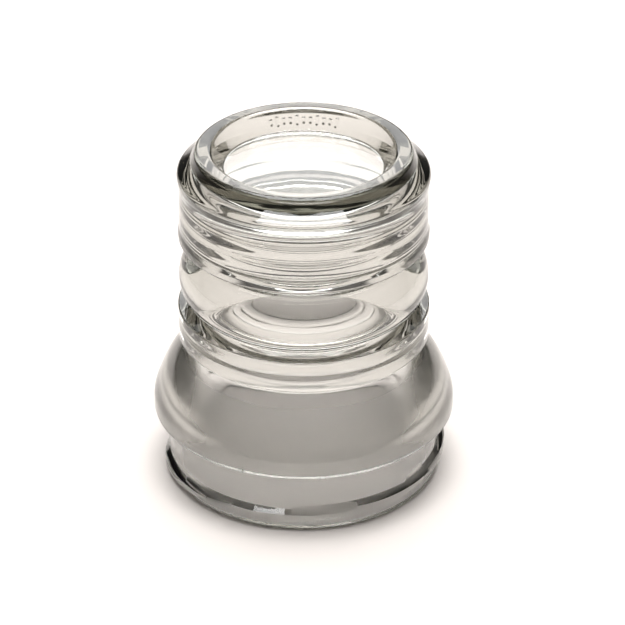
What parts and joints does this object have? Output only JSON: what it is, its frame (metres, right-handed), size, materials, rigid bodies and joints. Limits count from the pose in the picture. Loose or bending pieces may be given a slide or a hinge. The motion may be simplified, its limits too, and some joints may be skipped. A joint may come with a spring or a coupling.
{
  "type": "threaded lens globe",
  "caption": "Clear pressed-glass lens globe with a threaded neck, gasket flange, flared skirt, bulged belt lens between two zones with prism rings inside, and closed dished crown; spreads a lamp's light all round.",
  "frame": {"origin": "on the globe's axis, in the plane of the neck's bottom edge", "axes": "+Z along the axis from the open neck to the closed crown; +Y towards the row of raised ticks in the crown's dish"},
  "size_m": [0.076, 0.0761, 0.088],
  "materials": {
    "clear_glass": "polished"
  },
  "bodies": {
    "root": {"lens_globe": "clear_glass"}
  },
  "joints": []
}
